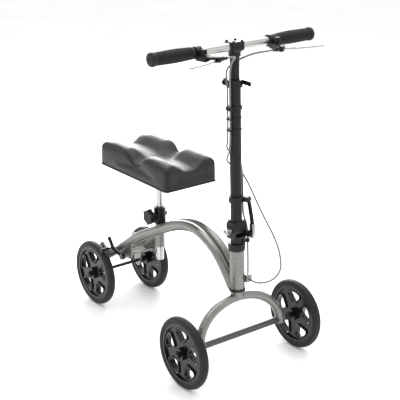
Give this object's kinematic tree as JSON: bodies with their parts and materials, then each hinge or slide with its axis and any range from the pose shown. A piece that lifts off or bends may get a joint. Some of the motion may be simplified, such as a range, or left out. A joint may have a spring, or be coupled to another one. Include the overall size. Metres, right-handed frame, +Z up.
{
  "type": "knee scooter",
  "caption": "Steerable folding knee scooter with a padded knee rest on a height-adjustable post, wide front axle, narrow rear axle, twin hand brakes and spoked wheels.",
  "frame": {"origin": "on the floor, midway between the axles, on the centre plane", "axes": "+X forward, +Y the rider's left, +Z up"},
  "size_m": [0.8012, 0.531, 0.9204],
  "materials": {
    "frame_paint": "gloss",
    "black_paint": "satin",
    "axle_steel": "satin",
    "bright_steel": "polished",
    "bar_metal": "satin",
    "wheel_plastic": "gloss",
    "black_plastic": "matte",
    "tyre_rubber": "matte",
    "grip_rubber": "matte",
    "pad_vinyl": "satin",
    "pad_board": "painted",
    "cable_sheath": "satin"
  },
  "bodies": {
    "frame": {"head_tube": "frame_paint", "headset_cups": "black_paint", "spine_tube_right": "frame_paint", "spine_tube_left": "frame_paint", "seat_socket": "frame_paint", "seat_clamp": "black_paint", "rear_brackets": "frame_paint", "rear_axle": "black_paint", "cross_brace": "frame_paint", "cable_guide": "black_plastic", "cable_frame_right": "cable_sheath", "cable_frame_left": "cable_sheath", "cable_left_neck": "cable_sheath", "brake_wire_right": "axle_steel", "brake_wire_left": "axle_steel"},
    "steering": {"steerer": "frame_paint", "front_arch": "frame_paint", "front_axle_tube": "axle_steel", "front_axle_bolts": "bright_steel", "upper_collar": "black_paint", "hinge_base": "black_paint", "hinge_bolt": "bright_steel", "cable_right_loop_lower": "cable_sheath"},
    "front_wheel_right": {"front_wheel_right": "wheel_plastic", "front_tyre_right": "tyre_rubber"},
    "front_wheel_left": {"front_wheel_left": "wheel_plastic", "front_tyre_left": "tyre_rubber"},
    "rear_wheel_right": {"rear_wheel_right": "wheel_plastic", "rear_tyre_right": "tyre_rubber"},
    "rear_wheel_left": {"rear_wheel_left": "wheel_plastic", "rear_tyre_left": "tyre_rubber"},
    "column": {"column_foot": "black_paint", "column_tube": "black_paint", "latch_collar": "black_paint", "height_clamp": "black_paint", "cable_ties": "black_plastic", "cable_right_upper": "cable_sheath", "cable_left_upper": "cable_sheath", "cable_right_loop_upper": "cable_sheath", "cable_left_hinge": "cable_sheath"},
    "fold_latch": {"latch_lever": "black_paint", "latch_hook": "bright_steel"},
    "hinge_lever": {"hinge_lever": "bright_steel"},
    "height_lever": {"height_lever": "black_paint"},
    "handle": {"upper_post": "black_paint", "bar_clamp": "black_paint", "bar_clamp_cap": "black_paint", "handlebar": "bar_metal", "grips": "grip_rubber", "lever_perches": "black_paint"},
    "brake_lever_right": {"brake_lever_right": "bar_metal"},
    "brake_lever_left": {"brake_lever_left": "bar_metal"},
    "lock_knob_right": {"lock_knob_right": "black_plastic"},
    "lock_knob_left": {"lock_knob_left": "black_plastic"},
    "brake_arm_right": {"brake_arm_right": "black_paint"},
    "brake_arm_left": {"brake_arm_left": "black_paint"},
    "seat": {"seat_post": "bright_steel", "pad_board": "pad_board", "knee_pad": "pad_vinyl"},
    "seat_knob": {"seat_knob": "black_plastic"}
  },
  "joints": [
    {"name": "steering_turn", "type": "hinge", "parent": "frame", "child": "steering", "pos_m": [0.27573, 0, 0.29982], "axis": [-0.0349, 0, 0.9994], "range_deg": [-35, 35], "deforming": ["cable_right_loop_lower", "cable_left_neck"]},
    {"name": "fold_hinge", "type": "hinge", "parent": "steering", "child": "column", "pos_m": [0.27214, 0, 0.40275], "axis": [0, -1, 0], "range_deg": [0, 42], "deforming": ["cable_right_loop_upper", "cable_left_hinge"]},
    {"name": "handle_height", "type": "slide", "parent": "column", "child": "handle", "axis": [-0.0349, 0, 0.9994], "range_m": [-0.06, 0.11], "deforming": ["cable_right_upper", "cable_left_upper"]},
    {"name": "fold_latch_swing", "type": "hinge", "parent": "column", "child": "fold_latch", "pos_m": [0.29109, 0.024, 0.49047], "axis": [0, -1, 0], "range_deg": [0, 60]},
    {"name": "hinge_lever_swing", "type": "hinge", "parent": "steering", "child": "hinge_lever", "pos_m": [0.27214, -0.0313, 0.40275], "axis": [-0.0349, 0, 0.9994], "range_deg": [0, 100]},
    {"name": "height_lever_swing", "type": "hinge", "parent": "column", "child": "height_lever", "pos_m": [0.23109, 0.0185, 0.80457], "axis": [-0.0349, 0, 0.9994], "range_deg": [0, 110]},
    {"name": "brake_lever_right_squeeze", "type": "hinge", "parent": "handle", "child": "brake_lever_right", "pos_m": [0.31007, -0.112, 0.89238], "axis": [0.0349, 0, -0.9994], "range_deg": [0, 22], "stiffness_Nm_per_rad": 1},
    {"name": "brake_lever_left_squeeze", "type": "hinge", "parent": "handle", "child": "brake_lever_left", "pos_m": [0.31007, 0.112, 0.89238], "axis": [-0.0349, 0, 0.9994], "range_deg": [0, 22], "stiffness_Nm_per_rad": 1},
    {"name": "brake_lock_right_press", "type": "slide", "parent": "handle", "child": "lock_knob_right", "axis": [0.0349, 0, -0.9994], "range_m": [0, 0.003], "stiffness_N_per_m": 400},
    {"name": "brake_lock_left_press", "type": "slide", "parent": "handle", "child": "lock_knob_left", "axis": [0.0349, 0, -0.9994], "range_m": [0, 0.003], "stiffness_N_per_m": 400},
    {"name": "rear_brake_right_press", "type": "hinge", "parent": "frame", "child": "brake_arm_right", "pos_m": [-0.188, -0.0705, 0.184], "axis": [0, -1, 0], "range_deg": [0, 3.5], "deforming": ["brake_wire_right"]},
    {"name": "rear_brake_left_press", "type": "hinge", "parent": "frame", "child": "brake_arm_left", "pos_m": [-0.188, 0.0705, 0.184], "axis": [0, -1, 0], "range_deg": [0, 3.5], "deforming": ["brake_wire_left"]},
    {"name": "seat_height", "type": "slide", "parent": "frame", "child": "seat", "axis": [0, 0, 1], "range_m": [-0.068, 0.02]},
    {"name": "seat_knob_turn", "type": "hinge", "parent": "frame", "child": "seat_knob", "pos_m": [-0.088, -0.038, 0.337], "axis": [0, -1, 0], "continuous": true},
    {"name": "front_wheel_right_spin", "type": "hinge", "parent": "steering", "child": "front_wheel_right", "pos_m": [0.299, -0.2, 0.1016], "axis": [0, 1, 0], "continuous": true},
    {"name": "front_wheel_left_spin", "type": "hinge", "parent": "steering", "child": "front_wheel_left", "pos_m": [0.299, 0.2, 0.1016], "axis": [0, 1, 0], "continuous": true},
    {"name": "rear_wheel_right_spin", "type": "hinge", "parent": "frame", "child": "rear_wheel_right", "pos_m": [-0.299, -0.101, 0.1016], "axis": [0, 1, 0], "continuous": true},
    {"name": "rear_wheel_left_spin", "type": "hinge", "parent": "frame", "child": "rear_wheel_left", "pos_m": [-0.299, 0.101, 0.1016], "axis": [0, 1, 0], "continuous": true}
  ],
  "couplings": [
    {"joint": "rear_brake_right_press", "follows": "brake_lever_right_squeeze", "ratio": 0.159},
    {"joint": "rear_brake_left_press", "follows": "brake_lever_left_squeeze", "ratio": 0.159}
  ]
}
